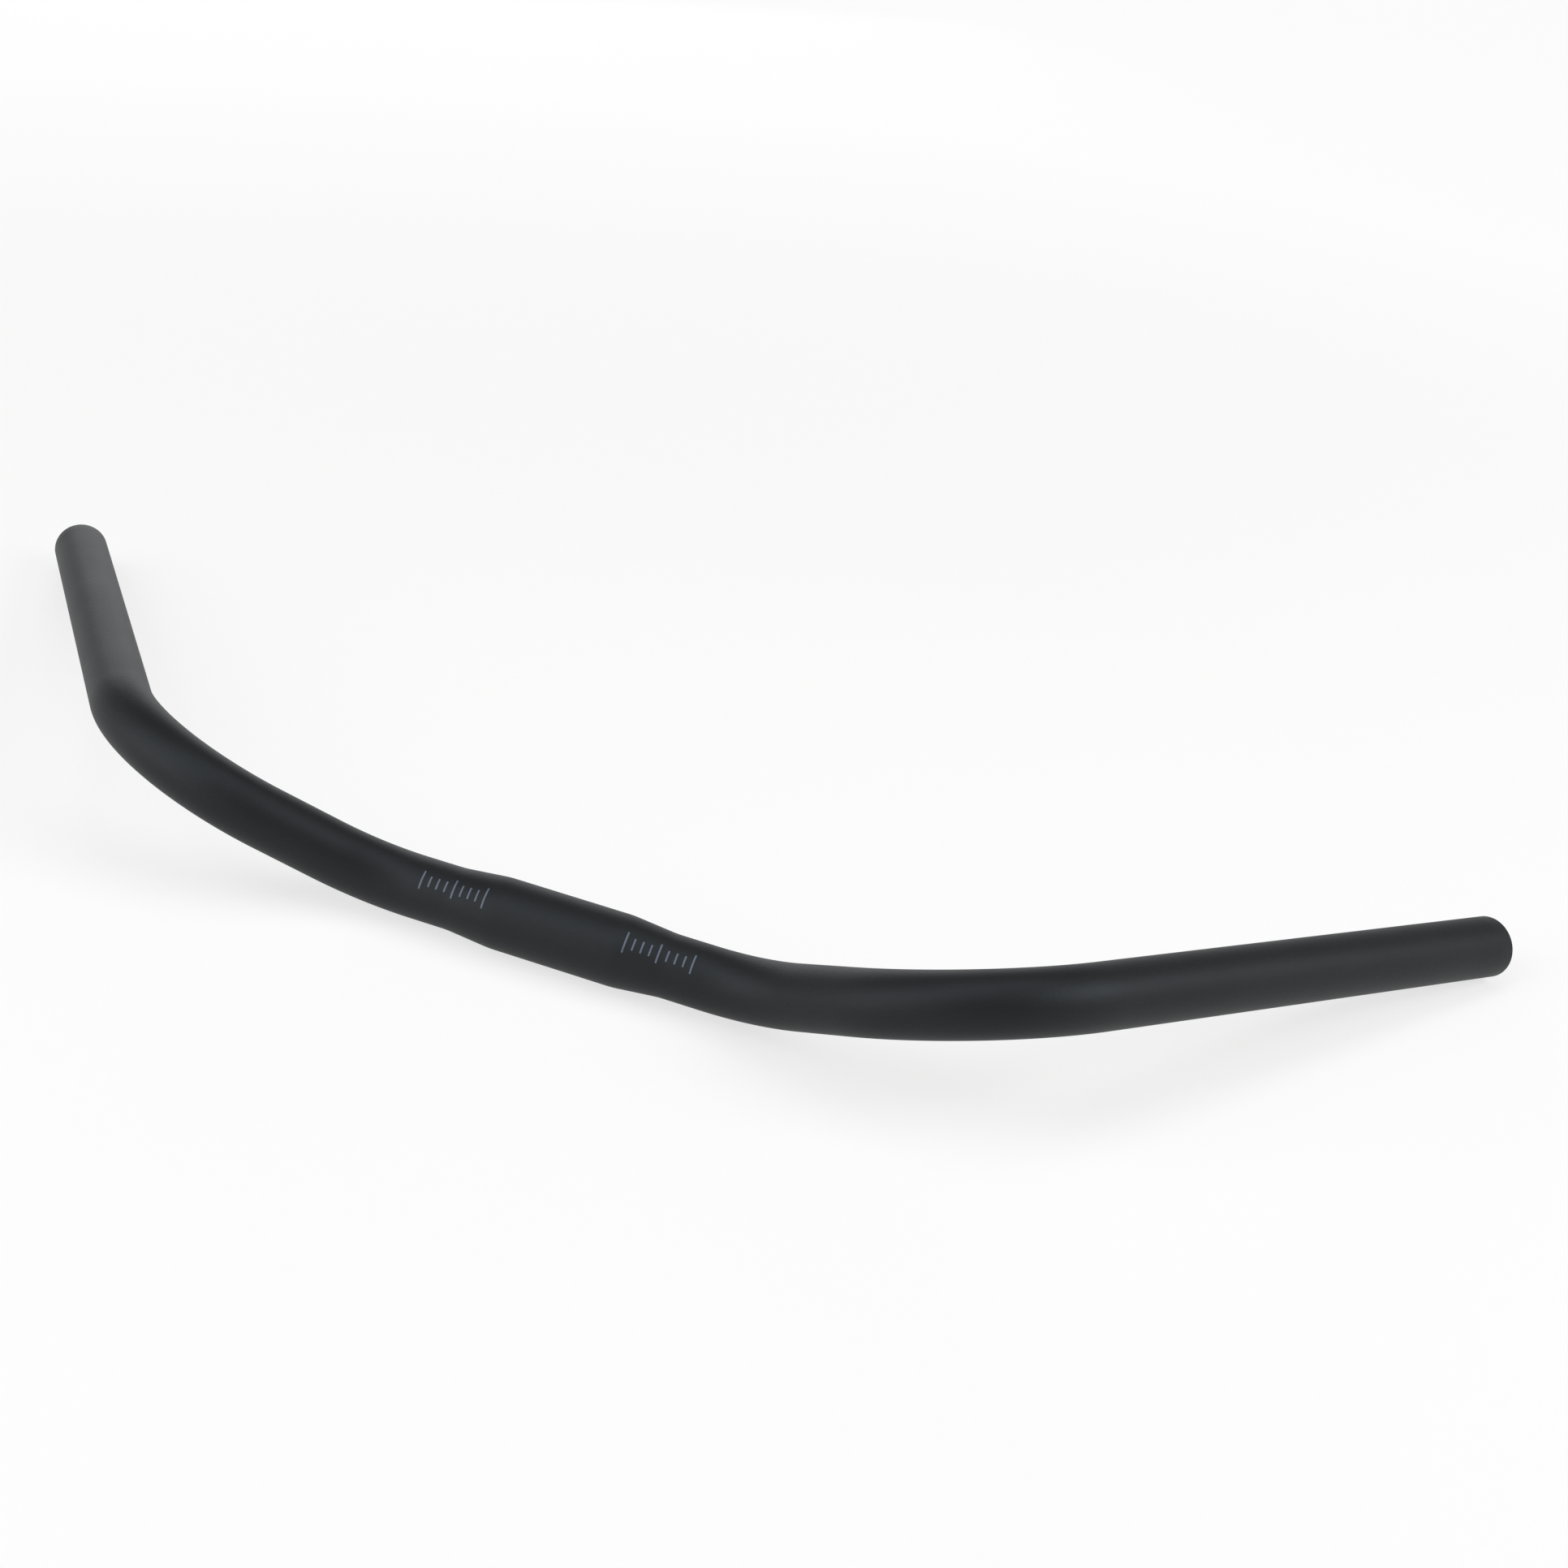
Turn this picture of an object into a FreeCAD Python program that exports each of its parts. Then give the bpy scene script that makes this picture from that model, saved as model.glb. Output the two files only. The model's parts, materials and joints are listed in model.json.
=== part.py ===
"""Trekking handlebar: one round steel tube, bulged where the stem grips it and bent twice on each side.

The tube is described as a tube bender would set it up. From the middle of the clamp outwards each half is
half of the bulged centre, the rise bend, a short link, the sweep bend in another plane, and the straight
grip with its open end. The other half is its mirror image.

Frame, in millimetres: the origin is on the tube's axis in the middle of the clamp, +X runs along the clamp,
+Y points back to the rider and +Z is up. The bar lies as it comes to rest on a flat surface, on the underside
of the clamp and on the lowest points of its two ends.
"""
import FreeCAD, Part
import math
import os

import Sketcher

NODE = "handlebar_tube"

# Driving dimensions: alias, value in millimetres or degrees, meaning
DIMENSIONS = (
    ("clamp_diameter", 25.4, "outside diameter of the bulged centre, a standard stem clamp size"),
    ("grip_diameter", 22.2, "outside diameter of the tube everywhere else, a standard grip size"),
    ("wall", 1.5, "wall thickness, the same in the bulge and in the arms"),
    ("clamp_length", 42.0, "length of the centre at its full diameter"),
    ("taper_length", 20.5, "length over which the centre runs down to the arm, on each side"),
    ("taper_blend", 40.0, "radius that rounds both ends of the taper, on the outside"),
    ("centre_length", 108.0, "straight length between the two rise bends"),
    ("bend_radius", 62.0, "radius of the axis in every bend, the size of the bending die"),
    ("rise_angle", 33.0, "angle of the rise bend"),
    ("link_length", 22.5, "straight length between the rise bend and the sweep bend"),
    ("plane_turn", -147.5, "turn of the tube about its own axis between the two bends"),
    ("sweep_angle", 79.0, "angle of the sweep bend"),
    ("grip_length", 197.5, "straight length from the sweep bend to the open end"),
    ("rest_turn", 125.76, "turn of the rise plane about the clamp axis, from +Y, with the bar at rest"),
    ("edge_break", 0.4, "chamfer on the cut ends, outside and inside"),
)

# How a constraint names the points of a sketch's element, and the sketch's own axis and origin
START, END, CENTRE = 1, 2, 3
H_AXIS = ORIGIN = -1

# Half of the length that the die's axis is drawn with beside a section
AXIS_HALF = 30.0
# What the finished tube's volume and its rest on the surface may be off by, as a share and in millimetres
VOLUME_TOLERANCE = 0.002
REST_TOLERANCE = 0.01


def add_dimensions(doc):
    """The sheet of driving dimensions, with the meaning of each beside it."""
    sheet = doc.addObject("Spreadsheet::Sheet", "dims")
    for row, (alias, value, meaning) in enumerate(DIMENSIONS, start=1):
        sheet.set(f"A{row}", str(value))
        sheet.setAlias(f"A{row}", alias)
        sheet.set(f"B{row}", meaning)
    doc.recompute()
    return sheet


def origin_plane(body, role):
    """One of the body's own origin planes."""
    return next(plane for plane in body.Origin.OriginFeatures if plane.Role == role)


def drive(sketch, constraint, expression):
    """Adds a constraint and binds its value to the sheet."""
    index = sketch.addConstraint(constraint)
    sketch.setExpression(f"Constraints[{index}]", expression)


def add_centre_profile(body, sheet):
    """Half of the bulged centre, cut along its axis: X runs along the tube and Y is the radius."""
    sketch = body.newObject("Sketcher::SketchObject", "centre_profile")
    sketch.AttachmentSupport = [(origin_plane(body, "XY_Plane"), "")]
    sketch.MapMode = "FlatFace"

    clamp_half = sheet.clamp_length / 2
    taper_end = clamp_half + sheet.taper_length
    middle_end = sheet.centre_length / 2
    clamp_r, arm_r = sheet.clamp_diameter / 2, sheet.grip_diameter / 2
    drop = clamp_r - arm_r
    run, blend = sheet.taper_length, sheet.taper_blend
    # the slope of a taper that leaves both blends tangent, for a gentle slope
    slope = (run - math.sqrt(run * run - 4 * blend * drop)) / (2 * blend)

    def surface(inset):
        """Clamp, blend, taper, blend and arm of the surface that lies inset below the outside."""
        top, low = clamp_r - inset, arm_r - inset
        crest = FreeCAD.Vector(clamp_half, clamp_r - blend, 0)
        foot = FreeCAD.Vector(taper_end, arm_r + blend, 0)
        crest_r, foot_r = blend - inset, blend + inset
        lean = FreeCAD.Vector(math.sin(slope), math.cos(slope), 0)
        up = FreeCAD.Vector(0, 0, 1)
        return [
            Part.LineSegment(FreeCAD.Vector(0, top, 0), FreeCAD.Vector(clamp_half, top, 0)),
            Part.ArcOfCircle(Part.Circle(crest, up, crest_r), math.pi / 2 - slope, math.pi / 2),
            Part.LineSegment(crest + lean * crest_r, foot - lean * foot_r),
            Part.ArcOfCircle(Part.Circle(foot, up, foot_r), 3 * math.pi / 2 - slope, 3 * math.pi / 2),
            Part.LineSegment(FreeCAD.Vector(taper_end, low, 0), FreeCAD.Vector(middle_end, low, 0)),
        ]

    outside = sketch.addGeometry(surface(0))
    inside = sketch.addGeometry(surface(sheet.wall))
    for clamp, crest, taper, foot, arm in (outside, inside):
        sketch.addConstraint(Sketcher.Constraint("Horizontal", clamp))
        sketch.addConstraint(Sketcher.Constraint("Horizontal", arm))
        sketch.addConstraint(Sketcher.Constraint("Tangent", clamp, END, crest, END))
        sketch.addConstraint(Sketcher.Constraint("Tangent", crest, START, taper, START))
        sketch.addConstraint(Sketcher.Constraint("Tangent", taper, END, foot, START))
        sketch.addConstraint(Sketcher.Constraint("Tangent", foot, END, arm, START))
    for crest_or_foot in (1, 3):
        sketch.addConstraint(
            Sketcher.Constraint("Coincident", outside[crest_or_foot], CENTRE, inside[crest_or_foot], CENTRE)
        )

    # the two cut faces close the profile: one in the middle of the bar, one at the rise bend
    for element, end in ((0, START), (4, END)):
        outer = sketch.getPoint(outside[element], end)
        inner = sketch.getPoint(inside[element], end)
        cut = sketch.addGeometry(Part.LineSegment(outer, inner))
        sketch.addConstraint(Sketcher.Constraint("Coincident", cut, START, outside[element], end))
        sketch.addConstraint(Sketcher.Constraint("Coincident", cut, END, inside[element], end))
        sketch.addConstraint(Sketcher.Constraint("Vertical", cut))
        drive(sketch, Sketcher.Constraint("DistanceY", cut, END, cut, START, sheet.wall), "dims.wall")

    clamp, crest, taper, foot, arm = outside
    for constraint, expression in (
        (("DistanceX", ORIGIN, START, clamp, START, 0.0), None),
        (("DistanceY", ORIGIN, START, clamp, START, clamp_r), "dims.clamp_diameter / 2"),
        (("DistanceX", ORIGIN, START, clamp, END, clamp_half), "dims.clamp_length / 2"),
        (("Radius", crest, blend), "dims.taper_blend"),
        (("Radius", foot, blend), "dims.taper_blend"),
        (("DistanceX", clamp, END, arm, START, run), "dims.taper_length"),
        (("DistanceY", ORIGIN, START, arm, END, arm_r), "dims.grip_diameter / 2"),
        (("DistanceX", ORIGIN, START, arm, END, middle_end), "dims.centre_length / 2"),
    ):
        if expression:
            drive(sketch, Sketcher.Constraint(*constraint), expression)
        else:
            sketch.addConstraint(Sketcher.Constraint(*constraint))
    return sketch


def add_centre(body, sheet):
    """Half of the bulged centre, turned about the clamp axis."""
    profile = add_centre_profile(body, sheet)
    centre = body.newObject("PartDesign::Revolution", "bulged_centre")
    centre.Profile = (profile, [""])
    centre.ReferenceAxis = (profile, ["H_Axis"])
    centre.Angle = 360
    body.Document.recompute()


def add_section(body, sheet, name, station):
    """The tube's cut section at a station of the bar.

    A station's Z axis points along the tube, and its X axis points to the centre of the next bend.
    """
    sketch = body.newObject("Sketcher::SketchObject", name)
    sketch.AttachmentSupport = [(origin_plane(body, "YZ_Plane"), "")]
    sketch.MapMode = "FlatFace"
    sketch.setExpression("AttachmentOffset", station)

    normal = FreeCAD.Vector(0, 0, 1)
    outer_r = sheet.grip_diameter / 2
    for radius, expression in (
        (outer_r, "dims.grip_diameter"),
        (outer_r - sheet.wall, "dims.grip_diameter - 2 * dims.wall"),
    ):
        circle = sketch.addGeometry(Part.Circle(FreeCAD.Vector(), normal, radius))
        sketch.addConstraint(Sketcher.Constraint("Coincident", circle, CENTRE, ORIGIN, START))
        drive(sketch, Sketcher.Constraint("Diameter", circle, 2 * radius), expression)
    body.Document.recompute()
    return sketch


def add_die_axis(sketch, sheet):
    """The bending die's axis, a construction line beside the section it bends."""
    low = FreeCAD.Vector(sheet.bend_radius, -AXIS_HALF, 0)
    high = FreeCAD.Vector(sheet.bend_radius, AXIS_HALF, 0)
    axis = sketch.addGeometry(Part.LineSegment(low, high), True)
    sketch.addConstraint(Sketcher.Constraint("Symmetric", axis, START, axis, END, H_AXIS))
    sketch.addConstraint(Sketcher.Constraint("DistanceY", axis, START, axis, END, 2 * AXIS_HALF))
    offset = Sketcher.Constraint("DistanceX", ORIGIN, START, axis, START, sheet.bend_radius)
    drive(sketch, offset, "dims.bend_radius")
    sketch.Document.recompute()


def add_bend(body, sheet, name, section, angle):
    """The section drawn round the die's axis by the bend's angle."""
    add_die_axis(section, sheet)
    bend = body.newObject("PartDesign::Revolution", name)
    bend.Profile = (section, [""])
    bend.ReferenceAxis = (section, ["Axis0"])
    bend.setExpression("Angle", f"dims.{angle}")
    body.Document.recompute()


def add_straight(body, name, section, length):
    """The section drawn straight on along the tube."""
    straight = body.newObject("PartDesign::Pad", name)
    straight.Profile = (section, [""])
    straight.setExpression("Length", f"dims.{length}")
    body.Document.recompute()


def after_bend(station, angle):
    """The station at the end of a bend that starts at the given section."""
    reach = f"dims.bend_radius * sin(dims.{angle})"
    offset = f"dims.bend_radius * (1 - cos(dims.{angle}))"
    step = f"placement(vector({offset}; 0; {reach}); rotation(vector(0; 1; 0); dims.{angle}))"
    return f"{station.Name}.AttachmentOffset * {step}"


def along_and_turn(length, turn):
    """A step straight along the tube, with a turn of the next bend's plane about it."""
    return f"placement(vector(0; 0; {length}); rotation(vector(0; 0; 1); {turn}))"


def add_arm(body, sheet):
    """The arm on the +X side: rise bend, link, sweep bend and grip, one station after another."""
    start = along_and_turn("dims.centre_length / 2", "dims.rest_turn")
    rise = add_section(body, sheet, "rise_section", start)
    add_bend(body, sheet, "rise_bend", rise, "rise_angle")

    link = add_section(body, sheet, "link_section", after_bend(rise, "rise_angle"))
    add_straight(body, "link", link, "link_length")

    turned = along_and_turn("dims.link_length", "dims.plane_turn")
    sweep = add_section(body, sheet, "sweep_section", f"{link.Name}.AttachmentOffset * {turned}")
    add_bend(body, sheet, "sweep_bend", sweep, "sweep_angle")

    grip = add_section(body, sheet, "grip_section", after_bend(sweep, "sweep_angle"))
    add_straight(body, "grip", grip, "grip_length")
    return grip


def add_mirror_half(body):
    """The whole half bar, mirrored in the plane through the middle of the clamp."""
    mirror = body.newObject("PartDesign::Mirrored", "mirror_half")
    mirror.TransformMode = "Whole shape"
    mirror.MirrorPlane = (origin_plane(body, "YZ_Plane"), [""])
    body.Tip = mirror
    body.Document.recompute()


def break_ends(body, sheet, grip):
    """A small chamfer on the outer and inner edge of both cut ends."""
    end = grip.Placement.multVec(FreeCAD.Vector(0, 0, sheet.grip_length))
    mirrored_end = FreeCAD.Vector(-end.x, end.y, end.z)
    base = body.Tip
    names = [
        f"Edge{number}"
        for number, edge in enumerate(base.Shape.Edges, start=1)
        if isinstance(edge.Curve, Part.Circle)
        and min(edge.Curve.Center.distanceToPoint(point) for point in (end, mirrored_end)) < sheet.wall / 2
    ]
    chamfer = body.newObject("PartDesign::Chamfer", "broken_ends")
    chamfer.Base = (base, names)
    chamfer.setExpression("Size", "dims.edge_break")
    body.Tip = chamfer
    body.Document.recompute()


def expected_volume(sheet):
    """The tube's section times the length of its axis, arm and bulge added up and the chamfers left out."""

    def ring(diameter):
        return math.pi * (diameter - sheet.wall) * sheet.wall

    turned = math.radians(sheet.rise_angle + sheet.sweep_angle) * sheet.bend_radius
    arm = turned + sheet.link_length + sheet.grip_length
    plain = sheet.centre_length / 2 - sheet.clamp_length / 2 - sheet.taper_length
    mean_ring = ring((sheet.clamp_diameter + sheet.grip_diameter) / 2)
    half = (
        ring(sheet.clamp_diameter) * sheet.clamp_length / 2
        + mean_ring * sheet.taper_length
        + ring(sheet.grip_diameter) * (plain + arm)
    )
    return 2 * half


def check(doc, body, sheet):
    """Stops if a feature failed, or the tube isn't one solid of the expected volume that lies on its ends."""
    for item in doc.Objects:
        if "Invalid" in item.State or "Error" in item.State:
            raise RuntimeError(f"{item.Name} failed: {item.State}")
    for sketch in doc.findObjects("Sketcher::SketchObject"):
        if not sketch.FullyConstrained:
            raise RuntimeError(f"{sketch.Name} has free dimensions")
    shape = body.Shape
    if shape.isNull() or not shape.isValid() or len(shape.Solids) != 1:
        raise RuntimeError("the tube isn't one valid solid")
    off = shape.Volume / expected_volume(sheet) - 1
    if abs(off) > VOLUME_TOLERANCE:
        raise RuntimeError(f"the tube's volume is {off:.2%} off its section times its length")
    box = shape.optimalBoundingBox(False)
    rest = box.ZMin + sheet.clamp_diameter / 2
    if abs(rest) > REST_TOLERANCE:
        raise RuntimeError(f"the ends lie {rest:+.3f} mm off the surface under the clamp")
    print(f"{NODE}: {box.XLength:.1f} wide, {box.YLength:.1f} deep, {box.ZLength:.1f} high")
    print(f"volume {shape.Volume:.0f} mm3, {off:+.3%} off its section times its length")


def main():
    doc = FreeCAD.newDocument("trekking_handlebar")
    sheet = add_dimensions(doc)
    body = doc.addObject("PartDesign::Body", NODE)
    body.Label = NODE
    body.Placement = FreeCAD.Placement()
    add_centre(body, sheet)
    grip = add_arm(body, sheet)
    add_mirror_half(body)
    break_ends(body, sheet, grip)
    doc.recompute()
    check(doc, body, sheet)
    os.makedirs("parts", exist_ok=True)
    body.Shape.exportStep(f"parts/{body.Label}.step")


main()
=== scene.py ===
"""Looks of a satin black trekking handlebar: the bent tube, its coat and printed scale, and a white studio.

The tube is drawn as a tube bender makes it, from the middle of the clamp outwards, and takes the place of
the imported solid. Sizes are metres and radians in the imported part's own frame: the origin is on the tube's
axis in the middle of the clamp, +X runs along the clamp, +Y points back to the rider and +Z is up.
"""
import json
import math

import bpy
from bpy.props import FloatProperty, FloatVectorProperty, IntProperty, PointerProperty
from mathutils import Matrix, Vector


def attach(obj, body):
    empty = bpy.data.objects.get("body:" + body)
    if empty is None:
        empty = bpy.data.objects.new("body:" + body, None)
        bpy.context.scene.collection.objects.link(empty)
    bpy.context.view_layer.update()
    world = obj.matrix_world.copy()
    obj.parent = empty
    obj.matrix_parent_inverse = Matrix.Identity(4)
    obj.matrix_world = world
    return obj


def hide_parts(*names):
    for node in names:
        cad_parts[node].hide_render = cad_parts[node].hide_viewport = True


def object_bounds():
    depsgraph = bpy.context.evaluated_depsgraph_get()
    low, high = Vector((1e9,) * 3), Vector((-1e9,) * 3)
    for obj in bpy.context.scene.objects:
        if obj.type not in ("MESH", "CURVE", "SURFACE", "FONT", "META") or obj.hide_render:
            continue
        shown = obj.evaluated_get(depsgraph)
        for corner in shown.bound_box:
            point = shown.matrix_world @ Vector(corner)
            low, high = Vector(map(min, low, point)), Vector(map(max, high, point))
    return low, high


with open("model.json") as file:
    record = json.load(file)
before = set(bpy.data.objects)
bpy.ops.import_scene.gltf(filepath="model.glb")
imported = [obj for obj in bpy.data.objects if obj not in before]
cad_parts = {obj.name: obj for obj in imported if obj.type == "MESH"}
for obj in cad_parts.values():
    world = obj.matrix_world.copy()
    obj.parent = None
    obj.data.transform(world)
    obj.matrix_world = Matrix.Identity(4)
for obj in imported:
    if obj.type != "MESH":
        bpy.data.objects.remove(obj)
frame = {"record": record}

bl_info = {
    "name": "Trekking Handlebar",
    "version": (1, 0, 0),
    "blender": (4, 5, 0),
    "location": "View3D > Sidebar > Handlebar",
    "description": "Draws, coats and prints a bulged and twice bent handlebar tube in a white studio",
    "category": "Object",
}

CAD_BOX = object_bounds()
CAD_NODE = "handlebar_tube"
BODY = "root"
TUBE_PIECE = "bent_tube"
SCALE_PIECE = "alignment_scale"
SOFTBOXES = ("overhead", "left", "right", "back")
MM = 0.001

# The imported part's mounts, and the names of those that sizes are taken from
MOUNTS = {mount["name"]: mount for mount in frame["record"]["mounts"]}
CLAMP = "stem_clamp"
GRIP = "grip_left"
END_BORE = "end_bore_left"

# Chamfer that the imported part's mounts leave off the ends of the grips
END_CHAMFER = 0.4 * MM
# Vertices closer than the first are one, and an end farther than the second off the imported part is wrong
MERGE_DISTANCE = 0.01 * MM
END_TOLERANCE = 0.1 * MM
# Edges sharper than the first angle are rounded, and edges flatter than the second are shaded smooth
SHARP_ANGLE = math.radians(60)
SMOOTH_ANGLE = math.radians(40)
# Facets along a mark of the scale, over a rounded edge of the tube, round the cove and up its sweep
MARK_FACETS = 12
EDGE_FACETS = 4
COVE_SIDES = 128
COVE_FACETS = 12
# Range that soft noise mostly keeps to, and how many finer layers each noise has
NOISE_SPAN = (0.3, 0.7)
TONE_DETAIL = 3
PEEL_DETAIL = 1
GRAIN_DETAIL = 2
INK_DETAIL = 2
# Width of the camera's sensor, in millimetres as its lens is
SENSOR_WIDTH = 36


def mount_size(name, key):
    """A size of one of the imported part's mounts, in metres."""
    return MOUNTS[name]["dims"][key] * MM


class TubeSizes(bpy.types.PropertyGroup):
    """How the tube is bulged and bent, from the middle of the clamp to an open end."""

    clamp_diameter: FloatProperty(
        name="Clamp diameter",
        description="Outside diameter of the bulged centre that the stem grips",
        default=2 * mount_size(CLAMP, "r_mm"),
        unit="LENGTH",
    )
    grip_diameter: FloatProperty(
        name="Grip diameter",
        description="Outside diameter of the tube everywhere else",
        default=2 * mount_size(GRIP, "r_mm"),
        unit="LENGTH",
    )
    wall: FloatProperty(
        name="Wall",
        description="Wall thickness of the tube",
        default=mount_size(GRIP, "r_mm") - mount_size(END_BORE, "r_mm"),
        unit="LENGTH",
    )
    clamp_length: FloatProperty(
        name="Clamp length",
        description="Length of the centre at its full diameter",
        default=mount_size(CLAMP, "length_mm"),
        unit="LENGTH",
    )
    taper_length: FloatProperty(
        name="Taper length",
        description="Length over which the centre runs down to the arm, on each side",
        default=20.5 * MM,
        unit="LENGTH",
    )
    taper_blend: FloatProperty(
        name="Taper blend",
        description="Radius that rounds both ends of the taper",
        default=40 * MM,
        unit="LENGTH",
    )
    centre_length: FloatProperty(
        name="Centre length",
        description="Straight length between the two rise bends",
        default=108 * MM,
        unit="LENGTH",
    )
    bend_radius: FloatProperty(
        name="Bend radius",
        description="Radius of the tube's axis in every bend",
        default=62 * MM,
        unit="LENGTH",
    )
    rise_angle: FloatProperty(
        name="Rise angle",
        description="Angle of the first bend beside the clamp",
        default=math.radians(33),
        subtype="ANGLE",
    )
    link_length: FloatProperty(
        name="Link length",
        description="Straight length between the rise bend and the sweep bend",
        default=22.5 * MM,
        unit="LENGTH",
    )
    plane_turn: FloatProperty(
        name="Plane turn",
        description="Turn of the tube about its own axis between the two bends",
        default=math.radians(-147.5),
        subtype="ANGLE",
    )
    sweep_angle: FloatProperty(
        name="Sweep angle",
        description="Angle of the second bend, which turns the grip back to the rider",
        default=math.radians(79),
        subtype="ANGLE",
    )
    grip_length: FloatProperty(
        name="Grip length",
        description="Straight length from the sweep bend to the open end",
        default=mount_size(GRIP, "length_mm") + END_CHAMFER,
        unit="LENGTH",
    )
    rest_turn: FloatProperty(
        name="Rest turn",
        description="Turn of the rise plane about the clamp axis, with the bar at rest",
        default=math.radians(125.76),
        subtype="ANGLE",
    )
    edge_round: FloatProperty(
        name="Edge round",
        description="Radius of the coated edges at the cut ends",
        default=0.55 * MM,
        unit="LENGTH",
    )
    sides: IntProperty(
        name="Sides",
        description="Facets round the tube",
        default=96,
        min=24,
    )
    facet_angle: FloatProperty(
        name="Facet angle",
        description="Angle of a bend from one ring of facets to the next",
        default=math.radians(1.5),
        subtype="ANGLE",
    )
    facet_length: FloatProperty(
        name="Facet length",
        description="Longest straight facet along the tube",
        default=8 * MM,
        unit="LENGTH",
    )


class ScaleSizes(bpy.types.PropertyGroup):
    """The plain scale on both sides of the clamp, which shows how far the stem is off centre."""

    first_mark: FloatProperty(
        name="First mark",
        description="Distance of the innermost mark from the middle of the clamp",
        default=26 * MM,
        unit="LENGTH",
    )
    mark_pitch: FloatProperty(
        name="Mark pitch",
        description="Distance from one mark to the next",
        default=3 * MM,
        unit="LENGTH",
    )
    mark_count: IntProperty(
        name="Mark count",
        description="Marks on each side",
        default=9,
        min=1,
    )
    long_every: IntProperty(
        name="Long every",
        description="A long mark comes after this many",
        default=4,
        min=1,
    )
    short_length: FloatProperty(
        name="Short length",
        description="Length of a short mark round the tube",
        default=4.5 * MM,
        unit="LENGTH",
    )
    long_length: FloatProperty(
        name="Long length",
        description="Length of a long mark round the tube",
        default=8 * MM,
        unit="LENGTH",
    )
    mark_width: FloatProperty(
        name="Mark width",
        description="Width of a mark along the tube",
        default=0.6 * MM,
        unit="LENGTH",
    )
    lift: FloatProperty(
        name="Lift",
        description="Angle of the scale up from the front of the tube",
        default=math.radians(52),
        subtype="ANGLE",
    )
    ink_height: FloatProperty(
        name="Ink height",
        description="How far the ink stands over the coat",
        default=0.03 * MM,
        unit="LENGTH",
    )


class CoatLook(bpy.types.PropertyGroup):
    """The powder coat on the outside, the ink of the scale and the steel in the bore."""

    coat_dark: FloatVectorProperty(
        name="Coat dark",
        description="Darker of the coat's two tones",
        default=(0.0055, 0.0060, 0.0064),
        subtype="COLOR",
    )
    coat_light: FloatVectorProperty(
        name="Coat light",
        description="Lighter of the coat's two tones",
        default=(0.0068, 0.0074, 0.0079),
        subtype="COLOR",
    )
    tone_size: FloatProperty(
        name="Tone size",
        description="Size of the patches where the coat's tone and gloss change a little",
        default=22 * MM,
        unit="LENGTH",
    )
    smooth_roughness: FloatProperty(
        name="Smooth roughness",
        description="Roughness where the coat has flowed out best",
        default=0.54,
        subtype="FACTOR",
    )
    dull_roughness: FloatProperty(
        name="Dull roughness",
        description="Roughness where the coat is dullest",
        default=0.56,
        subtype="FACTOR",
    )
    gloss: FloatProperty(
        name="Gloss",
        description="Strength of the coat's reflection seen straight on",
        default=0.32,
        subtype="FACTOR",
    )
    sheen_colour: FloatVectorProperty(
        name="Sheen colour",
        description="Cool tint of the coat's reflection",
        default=(0.92, 0.96, 1.0),
        subtype="COLOR",
    )
    peel_size: FloatProperty(
        name="Peel size",
        description="Size of the coat's soft orange peel",
        default=1.4 * MM,
        unit="LENGTH",
    )
    peel_height: FloatProperty(
        name="Peel height",
        description="Height of the coat's soft orange peel",
        default=0.06 * MM,
        unit="LENGTH",
    )
    grain_size: FloatProperty(
        name="Grain size",
        description="Size of the fine grain in the coat",
        default=0.3 * MM,
        unit="LENGTH",
    )
    grain_height: FloatProperty(
        name="Grain height",
        description="Height of the fine grain in the coat",
        default=0.02 * MM,
        unit="LENGTH",
    )
    ink_dark: FloatVectorProperty(
        name="Ink dark",
        description="Darker of the printed scale's two tones",
        default=(0.080, 0.100, 0.135),
        subtype="COLOR",
    )
    ink_light: FloatVectorProperty(
        name="Ink light",
        description="Lighter of the printed scale's two tones",
        default=(0.100, 0.122, 0.162),
        subtype="COLOR",
    )
    ink_roughness: FloatProperty(
        name="Ink roughness",
        description="Roughness of the printed scale",
        default=0.5,
        subtype="FACTOR",
    )
    steel_colour: FloatVectorProperty(
        name="Steel colour",
        description="Bare steel inside the tube",
        default=(0.30, 0.29, 0.28),
        subtype="COLOR",
    )
    steel_roughness: FloatProperty(
        name="Steel roughness",
        description="Roughness of the bare steel inside the tube",
        default=0.45,
        subtype="FACTOR",
    )
    overspray: FloatProperty(
        name="Overspray",
        description="How far the coat has blown into the open ends",
        default=35 * MM,
        unit="LENGTH",
    )


def lamp_place(name, place):
    """The property that says where a softbox stands."""
    return FloatVectorProperty(
        name=f"{name.title()} place",
        description=f"Where the {name} softbox stands",
        default=place,
        subtype="TRANSLATION",
    )


def lamp_size(name, size):
    """The property that says how large a softbox is."""
    return FloatVectorProperty(
        name=f"{name.title()} size",
        description=f"Width and height of the {name} softbox",
        default=size,
        size=2,
        unit="LENGTH",
    )


def lamp_brightness(name, brightness):
    """The property that says how bright a softbox is."""
    return FloatProperty(
        name=f"{name.title()} brightness",
        description=f"Brightness of the {name} softbox, where 1 is white",
        default=brightness,
    )


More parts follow.
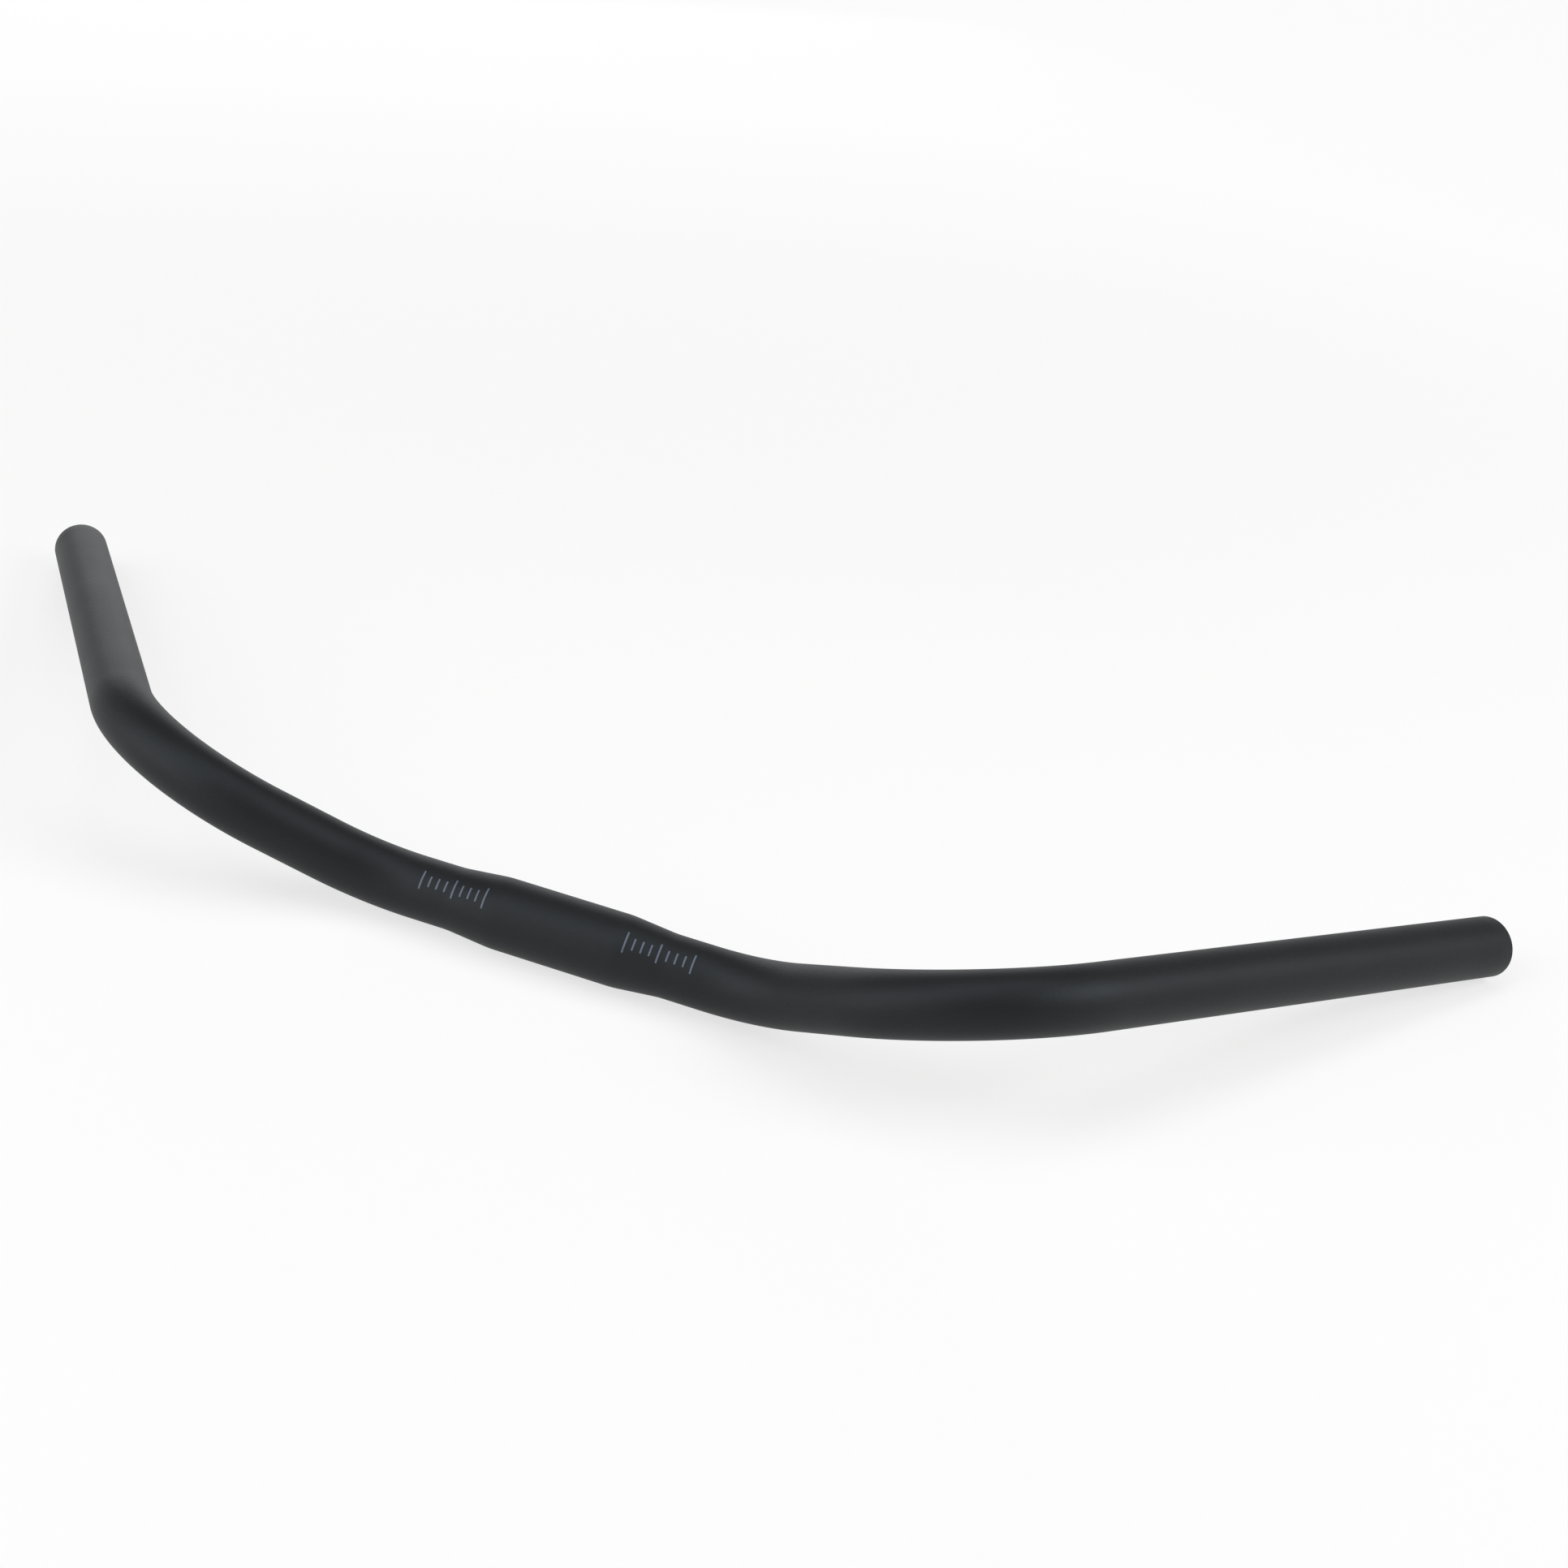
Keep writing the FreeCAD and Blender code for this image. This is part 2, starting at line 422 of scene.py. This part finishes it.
class StudioLook(bpy.types.PropertyGroup):
    """The camera, the four softboxes and the white cove."""

    camera_eye: FloatVectorProperty(
        name="Camera eye",
        description="Where the camera stands",
        default=(0.2217, -0.5983, 0.4489),
        subtype="TRANSLATION",
    )
    camera_aim: FloatVectorProperty(
        name="Camera aim",
        description="A point on the camera's line of sight",
        default=(0.0019, 0.0997, 0.0674),
        subtype="TRANSLATION",
    )
    camera_roll: FloatProperty(
        name="Camera roll",
        description="How far the camera is turned about its line of sight",
        default=math.radians(6.986),
        subtype="ANGLE",
    )
    camera_lens: FloatProperty(
        name="Camera lens",
        description="Focal length of the camera",
        default=51.863,
        unit="CAMERA",
    )
    camera_shift: FloatVectorProperty(
        name="Camera shift",
        description="How far the picture is moved off the line of sight, as a share of its width",
        default=(0.06, -0.09),
        size=2,
        subtype="XYZ",
    )
    overhead_place: lamp_place("overhead", (-0.06, -0.06, 1.47))
    overhead_size: lamp_size("overhead", (0.55, 1.8))
    overhead_brightness: lamp_brightness("overhead", 3.0)
    left_place: lamp_place("left", (-0.87, -0.80, 0.78))
    left_size: lamp_size("left", (1.15, 1.5))
    left_brightness: lamp_brightness("left", 2.5)
    right_place: lamp_place("right", (1.125, 0.13, 0.93))
    right_size: lamp_size("right", (0.85, 0.75))
    right_brightness: lamp_brightness("right", 5.5)
    back_place: lamp_place("back", (-0.75, 1.28, 0.30))
    back_size: lamp_size("back", (1.2, 0.55))
    back_brightness: lamp_brightness("back", 1.8)
    lamp_colour: FloatVectorProperty(
        name="Lamp colour",
        description="Slightly cool white of the softboxes",
        default=(0.91, 0.955, 1.0),
        subtype="COLOR",
    )
    room_brightness: FloatProperty(
        name="Room brightness",
        description="Brightness of the dim room over the cove, where 1 is white",
        default=0.06,
    )
    cove_colour: FloatVectorProperty(
        name="Cove colour",
        description="Warm white paper of the floor and wall, which the cool softboxes turn to plain white",
        default=(0.97, 0.93, 0.89),
        subtype="COLOR",
    )
    near_glow: FloatProperty(
        name="Near glow",
        description="Share of plain white that is seen in the paper round the bar, where its shadow falls",
        default=0.7,
        subtype="FACTOR",
    )
    far_glow: FloatProperty(
        name="Far glow",
        description="Share of plain white that is seen in the paper farther out",
        default=0.96,
        subtype="FACTOR",
    )
    glow_start: FloatProperty(
        name="Glow start",
        description="Distance from the clamp at which the paper begins to turn plain white",
        default=0.4,
        unit="LENGTH",
    )
    glow_end: FloatProperty(
        name="Glow end",
        description="Distance from the clamp at which the paper has turned plain white",
        default=1.2,
        unit="LENGTH",
    )
    wall_glow: FloatProperty(
        name="Wall glow",
        description="Share of the glow that is left where the cove's sweep has become its wall",
        default=0.45,
        subtype="FACTOR",
    )
    cove_radius: FloatProperty(
        name="Cove radius",
        description="Distance from the bar to the cove's wall",
        default=4.0,
        unit="LENGTH",
    )
    cove_height: FloatProperty(
        name="Cove height",
        description="Height of the cove's wall",
        default=2.0,
        unit="LENGTH",
    )
    cove_sweep: FloatProperty(
        name="Cove sweep",
        description="Radius of the sweep from the cove's floor up to its wall",
        default=1.0,
        unit="LENGTH",
    )


GROUPS = {
    "handlebar_tube": TubeSizes,
    "handlebar_scale": ScaleSizes,
    "handlebar_coat": CoatLook,
    "handlebar_studio": StudioLook,
}


def add_node(tree, kind, inputs=None, **settings):
    """Adds a node, sets its settings, and sets or links its inputs."""
    node = tree.nodes.new(kind)
    for name, value in settings.items():
        setattr(node, name, value)
    for name, value in (inputs or {}).items():
        if isinstance(value, bpy.types.NodeSocket):
            tree.links.new(value, node.inputs[name])
        else:
            node.inputs[name].default_value = value
    return node


def new_material(name):
    """A material with an empty tree, and its output node."""
    material = bpy.data.materials.new(name)
    material.use_nodes = True
    material.node_tree.nodes.clear()
    output = add_node(material.node_tree, "ShaderNodeOutputMaterial")
    return material, material.node_tree, output


def add_noise(tree, place, size, detail):
    """Soft noise with features of about that size."""
    inputs = {"Vector": place, "Scale": 1 / size, "Detail": detail}
    return add_node(tree, "ShaderNodeTexNoise", inputs).outputs["Fac"]


def add_tones(tree, factor, first, last, span=NOISE_SPAN):
    """Runs from the first colour to the last as the factor goes over the span."""
    ramp = add_node(tree, "ShaderNodeValToRGB", {"Fac": factor})
    start, end = ramp.color_ramp.elements
    start.position, end.position = span
    start.color, end.color = (*first, 1), (*last, 1)
    return ramp.outputs["Color"]


def add_range(tree, value, start, end, low, high):
    """Maps start and end of a value to low and high."""
    inputs = {"Value": value, "From Min": start, "From Max": end, "To Min": low, "To Max": high}
    return add_node(tree, "ShaderNodeMapRange", inputs).outputs["Result"]


def add_math(tree, operation, *values):
    """The result of a calculation with one or two values."""
    return add_node(tree, "ShaderNodeMath", dict(enumerate(values)), operation=operation).outputs["Value"]


def coat_material(look):
    """Satin black powder coat: soft orange peel, a finer grain, and a slightly uneven tone and gloss."""
    material, tree, output = new_material("powder_coat")
    place = add_node(tree, "ShaderNodeTexCoord").outputs["Object"]
    patches = add_noise(tree, place, look.tone_size, TONE_DETAIL)
    peel = add_noise(tree, place, look.peel_size, PEEL_DETAIL)
    grain = add_noise(tree, place, look.grain_size, GRAIN_DETAIL)
    peeled = add_node(tree, "ShaderNodeBump", {"Distance": look.peel_height, "Height": peel})
    grained = add_node(
        tree,
        "ShaderNodeBump",
        {"Distance": look.grain_height, "Height": grain, "Normal": peeled.outputs["Normal"]},
    )
    shader = add_node(
        tree,
        "ShaderNodeBsdfPrincipled",
        {
            "Base Color": add_tones(tree, patches, look.coat_dark, look.coat_light),
            "Roughness": add_range(tree, patches, *NOISE_SPAN, look.dull_roughness, look.smooth_roughness),
            "Specular IOR Level": look.gloss,
            "Specular Tint": (*look.sheen_colour, 1),
            "Normal": grained.outputs["Normal"],
        },
    )
    tree.links.new(shader.outputs["BSDF"], output.inputs["Surface"])
    return material


def ink_material(look):
    """Slate printing ink, a little uneven, with the coat's grain showing through."""
    material, tree, output = new_material("print_ink")
    place = add_node(tree, "ShaderNodeTexCoord").outputs["Object"]
    patches = add_noise(tree, place, look.peel_size, INK_DETAIL)
    grain = add_noise(tree, place, look.grain_size, GRAIN_DETAIL)
    bump = add_node(tree, "ShaderNodeBump", {"Distance": look.grain_height, "Height": grain})
    shader = add_node(
        tree,
        "ShaderNodeBsdfPrincipled",
        {
            "Base Color": add_tones(tree, patches, look.ink_dark, look.ink_light),
            "Roughness": look.ink_roughness,
            "Normal": bump.outputs["Normal"],
        },
    )
    tree.links.new(shader.outputs["BSDF"], output.inputs["Surface"])
    return material


def bore_mouth():
    """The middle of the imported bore's mouth on the +X side, inside its chamfer, and the way out of it."""
    mount = MOUNTS[END_BORE]
    axis = Vector(mount["axis"])
    return Vector(mount["pos_m"]) + axis * mount_size(END_BORE, "length_mm") / 2, axis


def bore_material(look):
    """Bare drawn steel in the bore, with the coat blown into it at both open ends."""
    material, tree, output = new_material("bore_steel")
    place = add_node(tree, "ShaderNodeTexCoord").outputs["Object"]
    parts = add_node(tree, "ShaderNodeSeparateXYZ", {"Vector": place})
    across = add_math(tree, "ABSOLUTE", parts.outputs["X"])
    one_side = add_node(
        tree,
        "ShaderNodeCombineXYZ",
        {"X": across, "Y": parts.outputs["Y"], "Z": parts.outputs["Z"]},
    )
    mouth, axis = bore_mouth()
    end = axis.dot(mouth)
    along = add_node(
        tree, "ShaderNodeVectorMath", {0: one_side.outputs["Vector"], 1: axis}, operation="DOT_PRODUCT"
    )
    grain = add_noise(tree, place, look.grain_size, GRAIN_DETAIL)
    blown = add_range(tree, along.outputs["Value"], end - look.overspray, end, 0, 1)
    dusted = add_math(tree, "ADD", blown, grain)
    # Grain with no overspray stays bare steel, and grain with all of it is fully coated
    coated = add_range(tree, dusted, NOISE_SPAN[1], 1 + NOISE_SPAN[0], 0, 1)
    bump = add_node(tree, "ShaderNodeBump", {"Distance": look.peel_height, "Height": grain})
    shader = add_node(
        tree,
        "ShaderNodeBsdfPrincipled",
        {
            "Base Color": add_tones(tree, coated, look.steel_colour, look.coat_dark, (0, 1)),
            "Metallic": add_range(tree, coated, 0, 1, 1, 0),
            "Roughness": add_range(tree, coated, 0, 1, look.steel_roughness, look.dull_roughness),
            "Normal": bump.outputs["Normal"],
        },
    )
    tree.links.new(shader.outputs["BSDF"], output.inputs["Surface"])
    return material


def cove_material(look):
    """White paper that keeps the bar's shadow, and shows as plain white between the shadows."""
    material, tree, output = new_material("cove_paper")
    rays = add_node(tree, "ShaderNodeLightPath").outputs
    seen = add_math(tree, "MAXIMUM", rays["Is Camera Ray"], rays["Is Glossy Ray"])
    seen = add_math(tree, "MAXIMUM", seen, rays["Is Transmission Ray"])
    place = add_node(tree, "ShaderNodeTexCoord").outputs["Object"]
    distance = add_node(tree, "ShaderNodeVectorMath", {0: place}, operation="LENGTH").outputs["Value"]
    height = add_node(tree, "ShaderNodeSeparateXYZ", {"Vector": place}).outputs["Z"]
    glow = add_range(tree, distance, look.glow_start, look.glow_end, look.near_glow, look.far_glow)
    fade = add_range(tree, height, 0, look.cove_sweep, 1, look.wall_glow)
    share = add_math(tree, "MULTIPLY", seen, add_math(tree, "MULTIPLY", glow, fade))
    paper = add_node(tree, "ShaderNodeBsdfDiffuse", {"Color": (*look.cove_colour, 1)})
    white = add_node(tree, "ShaderNodeEmission", {"Strength": 1})
    mixed = add_node(
        tree,
        "ShaderNodeMixShader",
        {"Fac": share, 1: paper.outputs["BSDF"], 2: white.outputs["Emission"]},
    )
    tree.links.new(mixed.outputs["Shader"], output.inputs["Surface"])
    return material


class Bender:
    """Draws the tube from its open ring on, in edit mode, and keeps the place where the ring has got to.

    The place's Z axis points along the tube, and its X axis points to the centre of the next bend.
    """

    def __init__(self, sizes):
        self.sizes = sizes
        # At the origin, with the place's X, Y and Z along the part's +Y, +Z and +X
        self.place = Matrix(((0, 0, 1, 0), (1, 0, 0, 0), (0, 1, 0, 0), (0, 0, 0, 1)))

    def extrude(self, length):
        """Draws the ring on by one facet."""
        step = self.place.to_3x3() @ Vector((0, 0, length))
        bpy.ops.mesh.extrude_region_move(TRANSFORM_OT_translate={"value": step})
        self.place = self.place @ Matrix.Translation((0, 0, length))

    def straight(self, length):
        """Draws the ring straight on, in even facets."""
        facets = math.ceil(length / self.sizes.facet_length)
        for _ in range(facets):
            self.extrude(length / facets)

    def narrow(self, share):
        """Scales the ring about the tube's axis, on the straight centre, where that is X."""
        bpy.ops.transform.resize(value=(1, share, share), center_override=self.place.translation)

    def turn(self, angle):
        """Turns the plane of the next bend about the tube."""
        self.place = self.place @ Matrix.Rotation(angle, 4, "Z")

    def bend(self, angle):
        """Draws the ring round the bending die."""
        to_die = Matrix.Translation((self.sizes.bend_radius, 0, 0))
        bpy.ops.mesh.spin(
            steps=math.ceil(angle / self.sizes.facet_angle),
            angle=-angle,
            center=(self.place @ to_die).translation,
            axis=self.place.to_3x3() @ Vector((0, 1, 0)),
        )
        self.place = self.place @ to_die @ Matrix.Rotation(angle, 4, "Y") @ to_die.inverted()


def taper_rings(sizes):
    """Place and radius of each ring of the taper: a crest arc, a slope and a foot arc, all tangent."""
    run, blend = sizes.taper_length, sizes.taper_blend
    top, low = sizes.clamp_diameter / 2, sizes.grip_diameter / 2
    slope = (run - math.sqrt(run * run - 4 * blend * (top - low))) / (2 * blend)
    facets = math.ceil(slope / sizes.facet_angle)
    angles = [slope * facet / facets for facet in range(1, facets + 1)]
    crest = [(blend * math.sin(angle), top - blend * (1 - math.cos(angle))) for angle in angles]
    foot = [(run - along, top + low - radius) for along, radius in reversed(crest)]
    return crest + foot + [(run, low)]


def draw_taper(bender, sizes):
    """Runs the bulged centre down to the arm."""
    along, radius = 0, sizes.clamp_diameter / 2
    for next_along, next_radius in taper_rings(sizes):
        bender.extrude(next_along - along)
        bender.narrow(next_radius / radius)
        along, radius = next_along, next_radius


def draw_half(sizes):
    """The outside of the half bar on the +X side, open at both ends, and where its grip ends."""
    bpy.ops.object.select_all(action="DESELECT")
    bpy.ops.mesh.primitive_circle_add(
        vertices=sizes.sides, radius=sizes.clamp_diameter / 2, rotation=(0, math.pi / 2, 0)
    )
    bpy.ops.object.transform_apply(location=False, rotation=True, scale=False)
    bpy.ops.object.mode_set(mode="EDIT")
    bpy.ops.mesh.select_all(action="SELECT")

    bender = Bender(sizes)
    bender.straight(sizes.clamp_length / 2)
    draw_taper(bender, sizes)
    bender.straight((sizes.centre_length - sizes.clamp_length) / 2 - sizes.taper_length)
    bender.turn(sizes.rest_turn)
    bender.bend(sizes.rise_angle)
    bender.straight(sizes.link_length)
    bender.turn(sizes.plane_turn)
    bender.bend(sizes.sweep_angle)
    bender.straight(sizes.grip_length)

    bpy.ops.object.mode_set(mode="OBJECT")
    return bpy.context.object, bender.place.translation


def check_end(end):
    """Stops if the drawn grip doesn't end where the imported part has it."""
    mouth, axis = bore_mouth()
    off = (end - mouth - axis * END_CHAMFER).length
    if off > END_TOLERANCE:
        raise RuntimeError(f"the grip ends {off / MM:.2f} mm off the packed part")


def apply_modifier(piece, kind, **settings):
    """Adds a modifier to the piece and applies it."""
    modifier = piece.modifiers.new(kind.title(), kind)
    for name, value in settings.items():
        setattr(modifier, name, value)
    bpy.ops.object.modifier_apply(modifier=modifier.name)


def close_seams():
    """Merges the doubles of the active piece and points its faces outwards."""
    bpy.ops.object.mode_set(mode="EDIT")
    bpy.ops.mesh.select_all(action="SELECT")
    bpy.ops.mesh.remove_doubles(threshold=MERGE_DISTANCE)
    bpy.ops.mesh.normals_make_consistent(inside=False)
    bpy.ops.object.mode_set(mode="OBJECT")


class HANDLEBAR_OT_draw_tube(bpy.types.Operator):
    """Draw the bent tube, give it its wall and rounded ends, and coat it"""

    bl_idname = "handlebar.draw_tube"
    bl_label = "Draw tube"

    def execute(self, context):
        sizes, look = context.scene.handlebar_tube, context.scene.handlebar_coat
        tube, end = draw_half(sizes)
        check_end(end)
        tube.name = tube.data.name = TUBE_PIECE
        tube.data.materials.append(coat_material(look))
        tube.data.materials.append(bore_material(look))
        apply_modifier(tube, "MIRROR", use_axis=(True, False, False), merge_threshold=MERGE_DISTANCE)
        close_seams()
        apply_modifier(
            tube, "SOLIDIFY", thickness=sizes.wall, offset=-1, use_even_offset=True, material_offset=1
        )
        apply_modifier(
            tube,
            "BEVEL",
            width=sizes.edge_round,
            segments=EDGE_FACETS,
            limit_method="ANGLE",
            angle_limit=SHARP_ANGLE,
            material=0,
        )
        bpy.ops.object.shade_smooth_by_angle(angle=SMOOTH_ANGLE)
        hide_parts(CAD_NODE)
        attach(tube, BODY)
        return {"FINISHED"}


def draw_mark(sizes, index, over):
    """One flat mark of the scale on the +X side, held over the tube at that distance from its axis."""
    length = sizes.short_length if index % sizes.long_every else sizes.long_length
    outward = Vector((0, -math.cos(sizes.lift), math.sin(sizes.lift)))
    along = Vector((sizes.first_mark + index * sizes.mark_pitch, 0, 0))
    bpy.ops.object.select_all(action="DESELECT")
    bpy.ops.mesh.primitive_grid_add(
        x_subdivisions=1,
        y_subdivisions=MARK_FACETS,
        size=1,
        location=along + outward * over,
        rotation=(math.pi / 2 - sizes.lift, 0, 0),
    )
    mark = bpy.context.object
    mark.scale = (sizes.mark_width, length, 1)
    bpy.ops.object.transform_apply(location=True, rotation=True, scale=True)
    return mark


class HANDLEBAR_OT_print_scale(bpy.types.Operator):
    """Print the scale of marks on both sides of the clamp"""

    bl_idname = "handlebar.print_scale"
    bl_label = "Print scale"

    def execute(self, context):
        scene = context.scene
        sizes = scene.handlebar_scale
        over = scene.handlebar_tube.clamp_diameter / 2
        marks = [draw_mark(sizes, index, over) for index in range(sizes.mark_count)]
        for mark in marks:
            mark.select_set(True)
        bpy.ops.object.join()
        scale = bpy.context.object
        scale.name = scale.data.name = SCALE_PIECE
        scale.data.materials.append(ink_material(scene.handlebar_coat))
        apply_modifier(
            scale,
            "SHRINKWRAP",
            target=bpy.data.objects[TUBE_PIECE],
            wrap_mode="ABOVE_SURFACE",
            offset=sizes.ink_height,
        )
        # The ink goes as far into the coat as it stands over it, so that no gap shows under it
        apply_modifier(scale, "SOLIDIFY", thickness=2 * sizes.ink_height, offset=-1)
        apply_modifier(scale, "MIRROR", use_axis=(True, False, False), use_mirror_merge=False)
        close_seams()
        bpy.ops.object.shade_smooth_by_angle(angle=SMOOTH_ANGLE)
        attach(scale, BODY)
        return {"FINISHED"}


def aim_at(place, target):
    """A placing at a point, turned so that its -Z axis looks at the target."""
    turn = (target - place).to_track_quat("-Z", "Y").to_matrix().to_4x4()
    return Matrix.Translation(place) @ turn


def add_softbox(context, look, name):
    """A soft area lamp that looks at the middle of the bar and is hidden from the camera."""
    width, height = getattr(look, f"{name}_size")
    data = bpy.data.lights.new(name, "AREA")
    data.shape = "RECTANGLE"
    data.size, data.size_y = width, height
    # A flat lamp as bright as white gives pi watts for each square metre
    data.energy = getattr(look, f"{name}_brightness") * math.pi * width * height
    data.color = look.lamp_colour
    lamp = bpy.data.objects.new(name, data)
    context.collection.objects.link(lamp)
    low, high = CAD_BOX
    lamp.matrix_world = aim_at(Vector(getattr(look, f"{name}_place")), (low + high) / 2)
    lamp.visible_camera = False


def add_camera(context, look):
    """The camera at the photograph's angle."""
    data = bpy.data.cameras.new("camera")
    data.lens = look.camera_lens
    data.sensor_width = SENSOR_WIDTH
    data.shift_x, data.shift_y = look.camera_shift
    camera = bpy.data.objects.new("camera", data)
    context.collection.objects.link(camera)
    roll = Matrix.Rotation(look.camera_roll, 4, "Z")
    camera.matrix_world = aim_at(Vector(look.camera_eye), Vector(look.camera_aim)) @ roll
    context.scene.camera = camera


def add_cove(look):
    """A round floor that the bar rests on, with a wall that it sweeps up to."""
    floor_level = CAD_BOX[0].z
    bpy.ops.object.select_all(action="DESELECT")
    bpy.ops.mesh.primitive_circle_add(
        vertices=COVE_SIDES, radius=look.cove_radius, fill_type="NGON", location=(0, 0, floor_level)
    )
    cove = bpy.context.object
    cove.name = cove.data.name = "cove"
    bpy.ops.object.transform_apply(location=True, rotation=False, scale=False)
    bpy.ops.object.mode_set(mode="EDIT")
    bpy.ops.mesh.select_mode(type="EDGE")
    bpy.ops.mesh.select_all(action="SELECT")
    bpy.ops.mesh.region_to_loop()
    bpy.ops.mesh.extrude_region_move(TRANSFORM_OT_translate={"value": (0, 0, look.cove_height)})
    bpy.ops.object.mode_set(mode="OBJECT")
    apply_modifier(
        cove,
        "BEVEL",
        width=look.cove_sweep,
        segments=COVE_FACETS,
        limit_method="ANGLE",
        angle_limit=SHARP_ANGLE,
    )
    bpy.ops.object.shade_smooth_by_angle(angle=SMOOTH_ANGLE)
    cove.data.materials.append(cove_material(look))


def set_room(context, look):
    """The dim, even room over the cove."""
    world = bpy.data.worlds.new("room")
    world.use_nodes = True
    background = world.node_tree.nodes["Background"]
    background.inputs["Color"].default_value = (1, 1, 1, 1)
    background.inputs["Strength"].default_value = look.room_brightness
    context.scene.world = world


class HANDLEBAR_OT_set_stage(bpy.types.Operator):
    """Set the cove, the softboxes, the room and the camera"""

    bl_idname = "handlebar.set_stage"
    bl_label = "Set stage"

    def execute(self, context):
        look = context.scene.handlebar_studio
        add_cove(look)
        for name in SOFTBOXES:
            add_softbox(context, look, name)
        set_room(context, look)
        add_camera(context, look)
        context.scene.view_settings.view_transform = "Standard"
        return {"FINISHED"}


class HANDLEBAR_PT_sidebar(bpy.types.Panel):
    """The handlebar's operators and what a user may change"""

    bl_idname = "HANDLEBAR_PT_sidebar"
    bl_label = "Trekking Handlebar"
    bl_space_type = "VIEW_3D"
    bl_region_type = "UI"
    bl_category = "Handlebar"

    def draw(self, context):
        for operator, groups in (
            (HANDLEBAR_OT_draw_tube, ("handlebar_tube", "handlebar_coat")),
            (HANDLEBAR_OT_print_scale, ("handlebar_scale",)),
            (HANDLEBAR_OT_set_stage, ("handlebar_studio",)),
        ):
            box = self.layout.box()
            box.operator(operator.bl_idname)
            for group in groups:
                for name in GROUPS[group].__annotations__:
                    box.prop(getattr(context.scene, group), name)


CLASSES = (
    *GROUPS.values(),
    HANDLEBAR_OT_draw_tube,
    HANDLEBAR_OT_print_scale,
    HANDLEBAR_OT_set_stage,
    HANDLEBAR_PT_sidebar,
)


def register():
    """Adds the classes, and a group of settings of each kind to every scene."""
    for cls in CLASSES:
        bpy.utils.register_class(cls)
    for name, group in GROUPS.items():
        setattr(bpy.types.Scene, name, PointerProperty(type=group))


def unregister():
    """Takes away what register added."""
    for name in GROUPS:
        delattr(bpy.types.Scene, name)
    for cls in reversed(CLASSES):
        bpy.utils.unregister_class(cls)


def main():
    """Draws the bar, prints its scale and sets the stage."""
    register()
    bpy.ops.handlebar.draw_tube()
    bpy.ops.handlebar.print_scale()
    bpy.ops.handlebar.set_stage()


if __name__ == "__main__":
    main()
